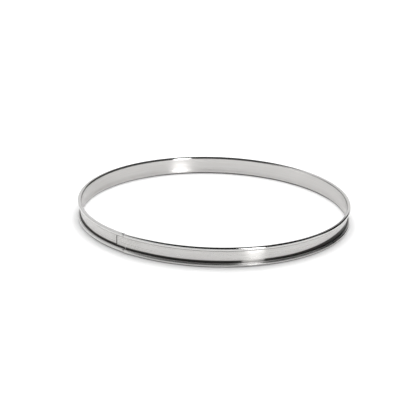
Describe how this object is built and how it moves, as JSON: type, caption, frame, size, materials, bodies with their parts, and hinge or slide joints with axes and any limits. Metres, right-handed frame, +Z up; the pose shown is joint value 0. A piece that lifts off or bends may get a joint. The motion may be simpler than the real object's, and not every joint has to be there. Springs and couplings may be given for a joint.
{
  "type": "tart ring",
  "caption": "Bottomless round tart ring: a low strip of brushed stainless steel with both edges rolled outward and its ends lapped and spot-welded.",
  "frame": {"origin": "on the ring's axis, in the plane that its lower roll stands on", "axes": "+Z up along the ring's axis; -Y towards the side seen nearest in the picture, +X to its right"},
  "size_m": [0.288, 0.288, 0.02],
  "materials": {
    "steel": "bright stainless strip, finely brushed along its length, with polished rolled edges"
  },
  "bodies": {
    "root": {"ring": "steel"}
  },
  "joints": []
}
